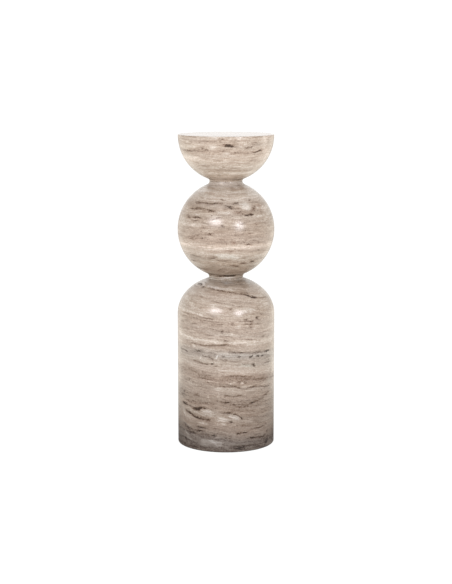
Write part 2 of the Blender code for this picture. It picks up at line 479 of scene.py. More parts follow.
DRUM_PATCHES = (
    # Round the lower neck
    # Painted reflection: the pale line under the lower joint, where the fillet faces up
    (226.5, 279, 8, 1, 0, 0.56, 0, 0.5),
    (212, 278, 2.2, 1.4, 0, 0.5, 0, 0.3),
    (205, 283.2, 5.4, 2.8, 15, 0.42, 0.2, 0.6),
    (216, 288, 6.5, 1.2, 12, 0.34, 0.2, 0.5),
    (199.7, 284, 1.7, 1, 40, -0.95),
    (203.7, 286.7, 1.7, 1, 0, -1),
    (250.6, 296.2, 5, 1.1, 10, -0.62),
    (263, 297.4, 6, 0.6, -2, -0.38),
    (245, 293.2, 5, 1.2, 12, -0.3),
    (230, 290.2, 8, 1.2, 7, 0.26),
    (229, 286, 5, 1, 2, -0.26, -0.3),
    (227, 282.6, 5, 1.5, 0, 0.12, -0.1, 0.8),
    (237.2, 281, 4.6, 0.8, 50, -0.14),
    (220.3, 281.9, 2.2, 0.8, 50, -0.36),
    (238.2, 279, 1.6, 1.8, 0, -0.04, -0.8, 0.3),
    (262.5, 291, 6, 4.5, 35, 0.24),
    # The dome's left shoulder
    (192.5, 293, 4, 2.6, 40, 0.2),
    (184, 301, 4, 7, 20, 0.2),
    (192.5, 304.5, 2.2, 3.5, -30, 0.24),
    (200, 295.6, 5, 1.3, 20, -0.2),
    (216.5, 295.4, 4, 1, 12, -0.24),
    (209.5, 298.8, 3, 0.9, 10, -0.22),
    (191.5, 299.5, 1.6, 2.8, 0, -0.16),
    (217, 302, 5, 0.9, 20, -0.2),
    (188.3, 306, 2, 2, 0, -0.24),
    # The dome's right shoulder
    (233, 305.7, 1.8, 0.7, -5, -0.64),
    (238.5, 306.5, 2.5, 0.6, 5, -0.4),
    (230.3, 308.8, 2.6, 0.8, 3, -0.5),
    # Painted highlight sheen: the broad pale smear right of the dome's right highlight
    (248, 310.6, 6, 2.4, 0, 0.42, 0, 0.3),
    (257.5, 309, 1.6, 0.7, 0, -0.32),
    (261, 314, 3.5, 1.3, 10, -0.36),
    (256.8, 317.3, 1.4, 1.9, 30, -0.6),
    (246, 319.4, 2.5, 1.1, 0, -0.42),
    (243, 321.4, 5, 1.1, 0, -0.28),
    (251.2, 325.8, 2, 1.6, -40, -0.38),
    (251, 321.5, 3, 1.2, 0, -0.34),
    (238.3, 327, 2.3, 1.4, -20, 0.32, 0, 0.3),
    (256, 328, 3, 0.9, -15, 0.18),
    (268.5, 317.6, 0.7, 1, 0, 0.4),
    # Where the dome meets the drum
    (197, 315, 9, 2.4, 10, 0.14),
    (253, 318, 12, 5, 0, -0.22),
    (227, 338.4, 10, 1.5, 0, -0.15),
    (221, 341.2, 4, 1.6, 0, -0.26),
    (213.5, 316.5, 2.5, 0.8, 20, -0.3, 0, 0.3),
    (214, 325, 5, 1.6, 10, -0.24, 0.2),
    (193.3, 323.3, 1.6, 0.8, 0, -0.3),
    (182.3, 321.5, 1.4, 0.9, 40, -0.12),
    (233.3, 323.1, 2.3, 1.4, -30, -0.32),
    (200, 332.3, 5, 1.2, 5, -0.22, 0.2),
    (222.4, 332.3, 1.8, 2, 0, -0.3),
    (209.5, 334.9, 3.5, 0.8, 5, -0.34),
    (224.5, 336.8, 3.5, 1, 0, -0.34, 0.3),
    (241, 337.3, 1.8, 0.8, 0, -0.34),
    (262.3, 336.4, 1.7, 0.8, -10, -0.28),
    (231.8, 334, 1.5, 1.3, 0, 0.46),
    # Under the pale bowed band
    (201.5, 344.9, 1.6, 0.9, 0, -0.32),
    (235, 346.6, 4.5, 1, 3, -0.26),
    (194.3, 346, 1.2, 2, -30, 0.42),
    (198.5, 350.8, 4.5, 1.3, 12, -0.34, -0.9),
    (204, 352.3, 2, 0.8, 10, -0.12, -0.4),
    (212, 353.3, 4, 0.9, 8, -0.26),
    (267, 350.9, 2, 1.1, -20, -0.18),
    # The grey-green zone with near-black specks
    (228, 356.5, 45, 3.2, 0, -0.03, -0.2, 0.3),
    (216.2, 357, 0.9, 1.8, 10, 0.75, 0, 0.5),
    (200.2, 357.5, 0.8, 1.9, 20, 0.32),
    (223.5, 356.7, 1.9, 0.7, 5, -0.5),
    (238.3, 356.8, 1.6, 0.9, 0, -0.6),
    (250.5, 356.8, 1.6, 0.9, -15, -0.9),
    (252.7, 355.6, 1, 0.7, -30, -0.95),
    (257.8, 356, 1.4, 0.9, -10, -0.8),
    (262.3, 355.3, 1.6, 0.6, -10, -0.55),
    (267.5, 352.4, 1.2, 0.8, -20, 0.5),
    (224.5, 360.5, 4.5, 0.9, 2, -0.38),
    (238, 361.2, 6, 0.8, -3, -0.28),
    (212.8, 363.4, 1.3, 0.9, -45, -0.45),
    (226, 363.7, 7, 0.6, 2, -0.24),
    (238.5, 365.2, 2.3, 0.7, 5, -0.5),
    (244, 364.5, 1.6, 0.6, 0, -0.46),
    (247.5, 364.4, 1, 0.5, 0, -0.42),
    (253.3, 364.4, 1.3, 1.2, 60, -0.75, -0.5),
    (254.8, 366, 1.4, 1, 30, -0.95, -0.5),
    (247, 365.5, 9, 1.6, 0, 0.06, -0.9),
    (215.7, 366.3, 1.1, 0.8, 0, -0.28),
    (183, 366.5, 4, 1.8, 25, -0.08),
    (240, 372.3, 12, 1.4, 0, 0.14, 0.2),
    # The tan band and the speckled zone under it
    (226, 375, 11, 1.8, 0, 0.13),
    (198, 387, 10, 2.4, 6, -0.13),
    (253, 393, 10, 2, -12, -0.1),
    (256, 374.3, 3, 0.7, -10, -0.24),
    (190, 379, 1.6, 0.9, 0, -0.26),
    (209.5, 381.4, 5, 0.5, -2, 0.3),
    (191, 383.6, 2, 0.8, 10, 0.2),
    (231.7, 383.5, 1.4, 0.8, 0, 0.42),
    (235, 382.2, 2, 0.8, 10, 0.4),
    (241.8, 383.3, 1.3, 0.9, 0, 0.6),
    (244.9, 386.9, 2.2, 0.9, -5, 0.52, -0.3),
    (226.5, 382, 1.2, 0.8, 0, 0.26),
    (263.5, 382.6, 2, 1.1, -20, 0.26),
    (262, 384.2, 2, 0.9, -20, 0.2),
    (249.5, 386, 2, 0.7, -10, 0.2),
    (268.5, 379, 2.4, 4.5, 10, 0.14, -0.9),
    (269.3, 384.6, 1.2, 0.8, 0, -0.34),
    (218, 389.8, 3, 2.2, 15, 0.22),
    (229, 388.9, 4, 0.9, 0, 0.14),
    (183.5, 392.5, 2.4, 2.8, 40, -0.26, 0, 0.3),
    (196.8, 395, 2.4, 1.8, 40, -0.16),
    (227.5, 395.6, 4, 1.1, 5, -0.28),
    (233.5, 396.6, 2, 0.9, -20, -0.26),
    (208.3, 396.9, 1.4, 1, 0, 0.34),
    (266, 393.5, 3.5, 1.1, -40, -0.36),
    (225, 402.6, 4.3, 0.7, 4, -0.52),
    (269, 401.3, 1.6, 1.2, -50, -0.34),
    (271, 402.6, 1.2, 1.8, -30, 0.46),
    (271.9, 405.4, 0.7, 1.6, 0, -0.4),
    # The dark blotches on the left and the pale patches beside them
    (184.8, 403, 4, 1.1, 22, -0.8),
    (199.2, 408, 5.3, 1.5, -2, -0.88),
    (196, 409.2, 3, 0.8, 10, -0.48),
    (181, 410, 3.5, 4, 0, 0.28),
    (196.7, 417.2, 2, 0.9, 20, -0.42),
    (187.5, 415.7, 7, 1.7, 33, 0.28, 0.2),
    (195.5, 412.5, 5.5, 1.1, 22, 0.2),
    (208.5, 411.7, 5.6, 2.2, 8, 0.42, 0.1, 0.2),
    (210, 416, 2.6, 1.6, 0, 0.3),
    (224, 412.7, 9, 0.9, 0, -0.32),
    (231.5, 411.7, 3, 1.3, -20, -0.3),
    (234.5, 417.3, 5.6, 2, 8, 0.52, 0.1, 0.3),
    (222.5, 419.4, 6.3, 1.7, 3, 0.44, 0.1, 0.2),
    (219.7, 418.6, 1.8, 1.2, 0, 0.2),
    (223, 424.3, 3, 0.8, 3, 0.5),
    (217, 424.8, 5, 1.8, 4, 0.28, 0.2),
    (231.3, 422.2, 3, 1.1, 5, -0.62, 0, 0.4),
    (241.6, 418.2, 1.3, 0.9, 30, -0.5),
    (202.5, 422.8, 4, 1.1, 8, 0.38),
    # The dark foot
    (192, 429, 9, 2.2, 20, -0.16),
    # Painted shade along the foot's lower edge, darkest in the middle
    (226, 447, 12, 1.6, 0, -0.12),
    (238, 448.2, 6.5, 2.2, -2, -0.42),
    (193.5, 432.4, 4.5, 1.4, 14, -0.28),
    (255, 445.5, 12, 2.2, -10, -0.26),
    (201, 427.3, 5, 1.4, 12, -0.34, 0, 0.3),
    (186, 424.5, 6, 2, 30, -0.3, 0, 0.4),
    (237, 433.6, 1.4, 0.8, 0, -0.42),
    (244, 432.3, 2.4, 0.7, -3, -0.42),
    (212.5, 435.6, 4, 0.8, 8, -0.3),
    (251.5, 437.9, 2.6, 0.8, -5, -0.4),
    (185, 432, 5, 1.1, 28, 0.4),
    (181.5, 428.4, 3, 0.8, 32, 0.36),
    (189.5, 437.6, 2.4, 1.2, 30, 0.34),
    (196, 434.4, 4, 0.9, 18, 0.24),
    (204.5, 440.4, 3.2, 1.7, 0, 0.48),
    (206, 444.4, 4.5, 1.6, 5, 0.34),
    (214.5, 442.3, 5.4, 1.6, 10, 0.5),
    (217.5, 445.6, 4.4, 1.3, 5, 0.36),
    (222.5, 442.3, 2.2, 1.4, -30, 0.32),
    (228, 437.4, 5, 1.2, 4, -0.12),
    (240, 441.4, 7, 1.4, -4, 0.05),
    (192, 441.6, 5, 1.8, 22, -0.16),
    (181, 438, 5, 2.4, 34, -0.18),
    (271.5, 442.4, 5, 2.6, -24, -0.5, 0, 0.3),
    # Between the others
    (206.5, 407, 2.5, 1.2, 0, 0.22),
    (220, 421, 4, 1.2, 5, 0.26),
    (190, 426, 4, 1.2, 25, 0.26),
    (206, 423, 3, 1.2, 8, 0.26),
    (239, 395, 4, 1.3, 0, -0.26),
    (205, 381, 4, 1.1, 5, 0.22),
    (211, 360, 4, 1.1, 5, -0.26),
    (204, 355, 3, 1.4, 5, 0.24),
    (200, 327, 5, 1.4, 5, 0.24),
    (256, 420, 4, 1.3, -8, -0.3),
    (184, 415, 3, 1.4, 25, 0.28),
    (210, 441, 3, 1.4, 5, 0.28),
    (259, 408, 4, 1.2, -15, 0.26),
    (230, 341, 4, 1, 0, -0.26),
    (226, 354.2, 6, 2.2, 0, 0.24),
    (209, 351, 5, 2, 5, 0.18),
    # Painted highlight sheen around the dome's two highlights
    (236, 309, 3, 1.2, 0, 0.26),
    (214, 306, 3, 1.4, 0, 0.28),
    (245, 325, 3, 1.2, -10, -0.28),
    (265, 304, 4, 4, 30, 0.24),
    (217, 438, 3, 1.2, 4, 0.28),
    (200, 431, 3.5, 1.3, 15, -0.3),
    (191, 406, 3.5, 1.2, 20, -0.3),
    (197, 410.2, 3.5, 1.2, 0, -0.34),
    (217, 409, 3, 1.3, 5, -0.28),
    (244.5, 374.8, 4, 1.1, 0, 0.22),
    (254, 353.4, 3, 1, -5, -0.26),
    (269, 315, 2.5, 3, 0, -0.28),
    (271, 370, 3, 3.5, 0, -0.24),
    # A painted reflection: the faint upright pale streak down the front of the drum
    (218.2, 388, 0.8, 46, 1.2, 0.11),
)
DRUM_VEINS = (
    # The long dark vein of the dome
    Vein(((207.5, 288), (212, 288.6), (217, 290), (222, 291.2), (228, 291.9), (235, 293.2),
          (241, 294.1), (247, 295.4), (252, 297), (257, 297.6)), 0.7, -0.52),
    Vein(((180, 309.6), (186, 312.8), (190, 314.3), (196, 315), (203, 317.6), (210, 318.6), (216, 319.4)),
         0.7, -0.34),
    Vein(((182, 308.8), (190, 312.2), (197, 313.9), (205, 316.2)), 1.2, 0.36),
    Vein(((193, 317.8), (200, 320.5), (208, 321.2), (215, 322.5), (223, 324.8)), 0.9, -0.3),
    # The pale bowed band, the thin line above it and the dark one below
    Vein(((189, 335.4), (200, 338), (212, 338.7), (226, 340.2), (240, 340), (252, 339.5), (264, 340)),
         0.6, -0.26, broken=True),
    Vein(((178, 331.2), (186, 336), (193, 338.8), (203, 341), (212, 342), (226, 342.8)), 2.1, 0.42),
    Vein(((226, 343.2), (240, 342.8), (252, 342.8), (262, 341.6), (273.5, 338.8)), 1.9, 0.38),
    Vein(((191, 342.4), (200, 344.8), (208, 345.8), (216, 345.7), (224, 344.8), (230, 344.8)), 1.1, -0.4),
    # Lines of the drum, from the top down
    Vein(((180, 346.6), (184, 349.6), (189, 352)), 0.6, -0.42),
    Vein(((228.5, 352.9), (240, 352.4), (250, 352.6), (260, 351.6), (269, 350.2)), 1.1, -0.4),
    Vein(((202, 355.6), (208, 357), (214, 359.4)), 0.7, -0.34),
    Vein(((193, 359.6), (198, 361.8), (203, 363.4), (209, 364.3), (214, 364.1)), 0.9, -0.46),
    Vein(((260, 364.2), (266, 362.5), (271, 360.8)), 0.7, -0.38),
    Vein(((187, 367), (196, 372), (202, 375.6), (209, 377.8)), 1.5, -0.12),
    Vein(((204, 378.2), (212, 379), (222, 379.2), (234, 379.5), (250, 379.8), (262, 378), (273, 374.4)),
         3.4, -0.13, 0.3),
    Vein(((229, 375.6), (238, 376), (248, 376.3)), 0.6, -0.2),
    Vein(((191, 381.2), (198, 383.6), (205, 385)), 0.8, -0.32),
    Vein(((219, 386.2), (228, 386.6), (236, 387.2), (242, 388.6), (247, 388.4), (254, 386.9), (262, 386.2),
          (271, 385.6)), 0.8, -0.4),
    Vein(((179, 396), (187, 400), (195, 402.2), (205, 403.2), (215, 404.4)), 1, -0.26),
    Vein(((228, 403.6), (240, 407.2), (247, 405.6), (253, 403)), 1, -0.3),
    Vein(((249, 403.6), (257, 400.5), (265, 396.4)), 0.8, -0.32),
    Vein(((185, 408.6), (190, 412.6), (195, 416.3), (199, 418.3), (204, 419.3), (211, 419.8)), 1, -0.58),
    Vein(((203, 408.2), (210, 408.9), (216, 412.2)), 0.6, -0.36),
    Vein(((233, 413.4), (238, 415.6), (243, 419.4)), 0.7, -0.55),
    # The boundary of the dark foot
    Vein(((190, 426.8), (197, 430.6), (207, 434), (216, 436)), 1, -0.26, 0, 0.3, broken=True),
    Vein(((235, 433.8), (245, 432.4), (252, 429.5), (258, 427.8), (264, 425.6), (270, 422.4)), 0.8, -0.34),
    Vein(((249, 438.2), (256, 437), (263, 436), (270, 433), (273.4, 429.6)), 1, -0.4),
)

# How the figure's edges wander, as (how many to the metre, how far in metres)
PLACE_RIPPLES = ((60.0, 0.0130), (260.0, 0.0090))
BED_RIPPLES = ((5.0, 0.022), (22.0, 0.009), (95.0, 0.0036))

# The streaks between the beds: how often across and up to the metre, and how strongly each
# changes tone, warmth and greyness
STREAKS = (
    ((3.0, 36.0), (0.36, 0.8, 0.5)),
    ((10.0, 150.0), (0.54, 0.6, 0.4)),
    ((32.0, 340.0), (0.66, 0.7, 0.2)),
    ((120.0, 420.0), (0.54, 0.5, 0.0)),
)
STREAK_OFFSETS = (3.7, 1.3, 2.1)
GRAIN = (400.0, 0.58)
SPECKS = (160.0, 520.0)
SPECK_RANGE = (0.66, 0.78)
SPECK_TONE = -0.42

# How rich the noises are
RIPPLE_DETAIL = 2.0
STREAK_DETAIL = 3.0
FINE_DETAIL = 1.0

# How a patch's cone of change is widened so that it reads as its size, how a vein's line is
# widened, weakened and tapered, and where a broken vein has its gaps
PATCH_SPREAD = 1.60
VEIN_SPREAD = 1.70
VEIN_GAIN = 0.88
VEIN_LEAST = 0.0004
VEIN_TAPER = 0.2
VEIN_END = 0.004
GAPS = 150.0
GAP_RANGE = (0.40, 0.58)
GAP_STRENGTHS = (1.1, 0.1)

# How the stone's own texture shows through the patches and veins, and where they end at the
# flat ends of a piece
WEAR = (90.0, 320.0)
WEAR_RANGE = (0.36, 0.62)
WEAR_SHARE = (0.55, 1.30)
END_REACH = (0.0005, 0.001)

# How warmth tints the colour, how much greyness dulls it, and the polish by tone
WARM_TINT = (0.055, -0.018, -0.040)
GREY_DULLS = 0.55
SATURATION_RANGE = (0.3, 1.15)
ROUGHNESS = ((0.05, 0.42), (0.55, 0.235))
MIRRORING = ((0.10, 0.15), (0.45, 0.50))
END_POLISH = 0.75
NECK_REACH = (0.046, 0.058)
NECK_DULLS = 1.8
STONE_IOR = 1.58
BUMP_STRENGTH = 0.15
BUMP_DISTANCE = 0.0003

# The patches of the sides and the back, which the photograph doesn't show
BACK_PATCHES = 60
BACK_AZIMUTHS = (1.66, 2.95)
BACK_MARGIN = 0.01
BACK_HALF_SIZES = ((0.006, 0.046), (0.0012, 0.0046))
BACK_TONES = ((-0.55, -0.15), (0.12, 0.40))
BACK_WARM = (-0.5, 0.5)
BACK_GREY = (0, 0.3)
BACK_TILTS = (-0.03, 0.03)


def box_values():
    """The main sizes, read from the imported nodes."""
    drum_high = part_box("domed_drum")[1]
    sphere_low, sphere_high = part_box("sphere")
    top_low, top_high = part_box("half_sphere_top")
    return {
        "drum_radius": drum_high.x,
        "drum_top": drum_high.z,
        "sphere_radius": sphere_high.x,
        "sphere_low": sphere_low.z,
        "sphere_high": sphere_high.z,
        "top_radius": top_high.x,
        "top_low": top_low.z,
        "height": top_high.z,
    }


SIZE = box_values()
UPPER_JOINT = (SIZE["sphere_high"] + SIZE["top_low"]) / 2
LOWER_JOINT = (SIZE["sphere_low"] + SIZE["drum_top"]) / 2
SPHERE_CENTRE = (UPPER_JOINT + LOWER_JOINT) / 2


def curve_point(radius, rise, centre_z, angle):
    """The (x, z) point of a round or flattened curve at an angle above its widest circle."""
    return radius * math.cos(angle), centre_z + rise * math.sin(angle)


def curve_normal(radius, rise, angle):
    """The outward unit normal (x, z) of the same curve."""
    x = math.cos(angle) / radius
    z = math.sin(angle) / rise
    length = math.hypot(x, z)
    return x / length, z / length


def neck_fillet(curve, joint_z, neck_radius, side):
    """The radius of the fillet into a neck, and the angle at which it leaves the curve."""

    def fillet_radius(angle):
        return (joint_z - curve_point(*curve, angle)[1]) / curve_normal(*curve[:2], angle)[1]

    near, far = (angle * side for angle in FILLET_ANGLES)
    for _ in range(FILLET_HALVINGS):
        angle = (near + far) / 2
        x = curve_point(*curve, angle)[0]
        normal_x = curve_normal(*curve[:2], angle)[0]
        if x + fillet_radius(angle) * (normal_x - 1) > neck_radius:
            near = angle
        else:
            far = angle
    return fillet_radius(near), near


def curve_arc(curve, start, end):
    """Points along a round or flattened curve, between two angles."""
    length = abs(end - start) * max(curve[:2])
    count = max(LEAST_CURVE_STEPS, round(length / CURVE_STEP))
    return [curve_point(*curve, angle) for angle in np.linspace(start, end, count + 1)]


def circle_arc(centre, radius, start, end, step):
    """Points along a circle, between two angles measured from +X."""
    count = max(LEAST_CIRCLE_STEPS, round(abs(end - start) * radius / step))
    return [
        (centre[0] + radius * math.cos(angle), centre[1] + radius * math.sin(angle))
        for angle in np.linspace(start, end, count + 1)
    ]


def neck_arc(curve, joint_z, neck_radius, side):
    """The neck's fillet, from the curve to the joint, and the angle where it leaves the curve."""
    radius, angle = neck_fillet(curve, joint_z, neck_radius, side)
    normal = curve_normal(*curve[:2], angle)
    centre = (neck_radius + radius, joint_z)
    leaves = math.pi + math.atan2(normal[1], normal[0])
    return circle_arc(centre, radius, leaves, math.pi, FILLET_STEP), angle


def straight(start, end, spacing):
    """Points along a straight line."""
    count = max(1, round(math.dist(start, end) / spacing))
    return [
        (start[0] + (end[0] - start[0]) * t, start[1] + (end[1] - start[1]) * t)
        for t in np.linspace(0, 1, count + 1)
    ]


def eased_joint(points, face_z, side):
    """Ends a neck's points at its joint face with a small arris."""
    kept = [p for p in points if (face_z - p[1]) * side > JOINT_ARRIS]
    centre = (points[-1][0] - JOINT_ARRIS, face_z - side * JOINT_ARRIS)
    return kept + circle_arc(centre, JOINT_ARRIS, 0, side * math.pi / 2, EDGE_STEP)


def half_sphere_side():
    """The turned side of the half-sphere, from the flat top's edge to the upper joint."""
    radius, height = SIZE["top_radius"], SIZE["height"]
    curve = (radius, TOP_DEPTH, height - RIM_ARRIS)
    rim_centre = (radius - RIM_ARRIS, height - RIM_ARRIS)
    rim = circle_arc(rim_centre, RIM_ARRIS, math.pi / 2, 0, EDGE_STEP)
    neck, leaves = neck_arc(curve, UPPER_JOINT, UPPER_NECK_RADIUS, -1)
    neck = eased_joint(neck, SIZE["top_low"], -1)
    return rim + curve_arc(curve, 0, leaves)[1:] + neck[1:]


def sphere_side():
    """The turned side of the sphere, from the upper joint to the lower one."""
    radius = SIZE["sphere_radius"]
    curve = (radius, radius, SPHERE_CENTRE)
    above, top_angle = neck_arc(curve, UPPER_JOINT, UPPER_NECK_RADIUS, 1)
    below, bottom_angle = neck_arc(curve, LOWER_JOINT, LOWER_NECK_RADIUS, -1)
    above = eased_joint(above, SIZE["sphere_high"], 1)
    below = eased_joint(below, SIZE["sphere_low"], -1)
    return above[::-1] + curve_arc(curve, top_angle, bottom_angle)[1:] + below[1:]


def drum_side():
    """The turned side of the drum, from the lower joint over the dome to the underside's edge."""
    radius = SIZE["drum_radius"]
    curve = (radius, DOME_RISE, DOME_SPRING)
    neck, leaves = neck_arc(curve, LOWER_JOINT, LOWER_NECK_RADIUS, 1)
    neck = eased_joint(neck, SIZE["drum_top"], 1)
    foot_centre = (radius - FOOT_EASING, FOOT_EASING)
    foot = circle_arc(foot_centre, FOOT_EASING, 0, -math.pi / 2, EDGE_STEP)
    side = straight((radius, DOME_SPRING), (radius, FOOT_EASING), STRAIGHT_STEP)
    return neck[::-1] + curve_arc(curve, leaves, 0)[1:] + side[1:] + foot[1:]


def seen_from_camera(x, y):
    """The direction in which the photograph's camera sees one of its pixels."""
    focal = CAMERA_LENS / SENSOR_SIZE * max(PHOTO_WIDTH, PHOTO_HEIGHT)
    right = (x - PHOTO_WIDTH / 2) / focal
    up = (PHOTO_HEIGHT / 2 - y) / focal
    lean, rise = math.cos(CAMERA_PITCH), math.sin(CAMERA_PITCH)
    return np.array([right, lean + up * rise, up * lean - rise])


def spot(side, x, y):
    """Where a pixel of the photograph falls on a turned side, as its azimuth and height."""
    radii, heights = np.array(side).T
    order = np.argsort(heights)
    nearest, farthest = (CAMERA_DISTANCE + reach for reach in SIGHT_RANGE)
    reach = np.arange(nearest, farthest, SIGHT_STEP)
    camera = np.array([0, -CAMERA_DISTANCE, CAMERA_HEIGHT])
    points = camera + np.outer(reach, seen_from_camera(x, y))
    outline = np.interp(points[:, 2], heights[order], radii[order], left=0, right=0)
    gap = np.hypot(points[:, 0], points[:, 1]) - outline
    first = int(np.argmax(gap < 0)) if (gap < 0).any() else int(np.argmin(gap))
    return math.atan2(points[first, 0], -points[first, 1]), points[first, 2]


def chipped(points):
    """Moves the points of the drum's mesh inwards at the small chip of the foot's edge."""
    azimuth, height = spot(drum_side(), *CHIP)
    radius = SIZE["drum_radius"] - CHIP_INSET
    centre = np.array([radius * math.sin(azimuth), -radius * math.cos(azimuth), height])
    away = np.linalg.norm(points - centre, axis=1)
    depth = CHIP_DEPTH * np.clip(1 - away / CHIP_REACH, 0, 1)
    inwards = -np.array([math.sin(azimuth), -math.cos(azimuth), 0])
    return points + depth[:, None] * inwards


def disc_points(side, end):
    """Rings of a flat end, from next to the axis to the side's own edge, which it leaves out."""
    x, z = side[end]
    return straight((0, z), (x, z), DISC_STEP)[1:-1]


def faces_between(ring_count):
    """Quads between neighbouring rings, and fans from both ends' middle points, which come last."""
    columns = np.arange(COLUMNS)
    after = (columns + 1) % COLUMNS
    here = COLUMNS * np.arange(ring_count - 1)[:, None]
    below = here + COLUMNS
    quads = np.stack([here + columns, below + columns, below + after, here + after], 2)
    top = np.full(COLUMNS, COLUMNS * ring_count)
    last = COLUMNS * (ring_count - 1)
    fans = np.stack([top, columns, after, top + 1, last + after, last + columns], 1)
    return quads.reshape(-1, 4).tolist() + fans.reshape(-1, 3).tolist()


def disc_places(centre, radii):
    """The bake's places of a flat end's rings, one column more than the mesh has."""
    angles = 2 * math.pi * np.arange(COLUMNS + 1) / COLUMNS
    around = np.stack([np.cos(angles), np.sin(angles)], 1)
    return centre + (DISC_RADIUS * (radii / radii.max()))[:, None, None] * around


def corner_places(places):
    """The places of the four corners of each face between neighbouring rings and columns."""
    corners = places[:-1, :-1], places[1:, :-1], places[1:, 1:], places[:-1, 1:]
    return np.stack(corners, 2).reshape(-1, 2)


def bake_places(rings, first, last):
    """The bake's place of each corner of each face. The side's rings are first to last."""
    top = disc_places(DISC_CENTRES[0], rings[: first + 1, 0])
    bottom = disc_places(DISC_CENTRES[1], rings[last:, 0])
    lengths = np.hypot(*np.diff(rings[first : last + 1], axis=0).T)
    along = np.concatenate([[0], np.cumsum(lengths)]) / lengths.sum()
    heights = SIDE_BAND[1] - along * (SIDE_BAND[1] - SIDE_BAND[0])
    band = np.stack(np.meshgrid(np.arange(COLUMNS + 1) / COLUMNS, heights), 2)
    middles = [np.tile(centre, (COLUMNS, 1)) for centre in DISC_CENTRES]
    top_fan = (middles[0], top[0, :-1], top[0, 1:])
    bottom_fan = (middles[1], bottom[-1, 1:], bottom[-1, :-1])
    fans = np.stack([*top_fan, *bottom_fan], 1).reshape(-1, 2)
    return np.concatenate([*map(corner_places, (top, band, bottom)), fans])


def turned(name, side, change=None):
    """A closed mesh turned from its side's profile, with flat ends and the bake's map."""
    top, bottom = disc_points(side, 0), disc_points(side, -1)
    rings = np.array(top + side + bottom[::-1])
    angles = np.linspace(0, 2 * math.pi, COLUMNS, endpoint=False) + math.pi / 2
    x, y = rings[:, :1] * np.cos(angles), rings[:, :1] * np.sin(angles)
    grid = np.stack([x, y, np.repeat(rings[:, 1:], COLUMNS, 1)], 2).reshape(-1, 3)
    middles = np.array([[0, 0, side[0][1]], [0, 0, side[-1][1]]])
    points = np.concatenate([grid, middles])
    if change:
        points = change(points)
    mesh = bpy.data.meshes.new(name)
    mesh.from_pydata(points.tolist(), [], faces_between(len(rings)))
    bake_map = mesh.uv_layers.new(name="OFBake")
    places = bake_places(rings, len(top), len(top) + len(side) - 1)
    bake_map.data.foreach_set("uv", places.astype(np.float32).ravel())
    mesh.shade_smooth()
    mesh.set_sharp_from_angle(angle=SHARP_ANGLE)
    piece = bpy.data.objects.new(name, mesh)
    bpy.context.scene.collection.objects.link(piece)
    return piece


class Nodes:
    """Adds the nodes of a material or world, in the order in which they are worked out."""

    def __init__(self, owner, shader):
        owner.use_nodes = True
        self.tree = owner.node_tree
        self.inputs = self.tree.nodes[shader].inputs

    def feed(self, socket, value):
        """Links a socket to another, or sets its value."""
        if isinstance(value, bpy.types.NodeSocket):
            self.tree.links.new(value, socket)
        else:
            socket.default_value = value

    def add(self, kind, inputs, **settings):
        """A new node, with what goes into its sockets by their number or name."""
        node = self.tree.nodes.new("ShaderNode" + kind)
        for name, value in settings.items():
            setattr(node, name, value)
        for socket, value in inputs.items():
            self.feed(node.inputs[socket], value)
        return node

    def math(self, operation, *values, clamp=False):
        """A sum of numbers."""
        node = self.add("Math", dict(enumerate(values)), operation=operation, use_clamp=clamp)
        return node.outputs[0]

    def vector(self, operation, *values):
        """A sum of vectors."""
        return self.add("VectorMath", dict(enumerate(values)), operation=operation).outputs[0]

    def length(self, vector):
        """A vector's length."""
        return self.add("VectorMath", {0: vector}, operation="LENGTH").outputs["Value"]

    def scaled(self, change, amount):
        """A vector scaled by an amount."""
        inputs = {0: change, "Scale": amount}
        return self.add("VectorMath", inputs, operation="SCALE").outputs[0]

    def summed(self, parts):
        """All the vectors together, each added as soon as it is made."""
        total = next(parts)
        for part in parts:
            total = self.vector("ADD", part, total)
        return total

    def noise(self, place, scale=1.0, detail=RIPPLE_DETAIL, output=0):
        """A noise of about 0.5 in the middle. Output 0 is a number, and 1 is three of them."""
        node = self.add("TexNoise", {"Vector": place, "Scale": scale, "Detail": detail})
        return node.outputs[output]

    def ramp(self, value, stops):
        """Colours at stops of 0 to 1."""
        node = self.add("ValToRGB", {0: value})
        elements = node.color_ramp.elements
        while len(elements) < len(stops):
            elements.new(0.5)
        for element, (position, colour) in zip(elements, stops):
            element.position = position
            element.color = (*colour, 1)
        return node.outputs[0]

    def curve(self, value, points):
        """A curve of one value against another, both from 0 to 1."""
        node = self.add("FloatCurve", {1: value})
        line = node.mapping.curves[0]
        line.points[0].location = points[0]
        line.points[1].location = points[-1]
        for x, y in points[1:-1]:
            line.points.new(x, y)
        for point in line.points:
            point.handle_type = "VECTOR"
        node.mapping.extend = "HORIZONTAL"
        node.mapping.update()
        return node.outputs[0]

    def mixed(self, share, colour, other):
        """A share of another colour, mixed into one."""
        return self.add("Mix", {0: share, 6: colour, 7: other}, data_type="RGBA").outputs[2]

    def stepped(self, value, low, high, start=0, end=1):
        """Start below low, end above high, and an even rise between them."""
        ends = {1: low, 2: high, 3: start, 4: end}
        return self.add("MapRange", {0: value, **ends}).outputs[0]


def oval(side, patch):
    """A patch's oval on the stone, by azimuth and height: its centre, turn and two half sizes."""
    turn = math.radians(patch.tilt)
    ways = (math.cos(turn), math.sin(turn)), (-math.sin(turn), math.cos(turn))
    columns = []
    for (x, y), size in zip(ways, (patch.across, patch.down)):
        ahead = np.array(spot(side, patch.x + x * size / 2, patch.y + y * size / 2))
        behind = np.array(spot(side, patch.x - x * size / 2, patch.y - y * size / 2))
        columns.append(ahead - behind)
    axes, sizes, _ = np.linalg.svd(np.array(columns).T)
    return spot(side, patch.x, patch.y), math.atan2(axes[1, 0], axes[0, 0]), sizes


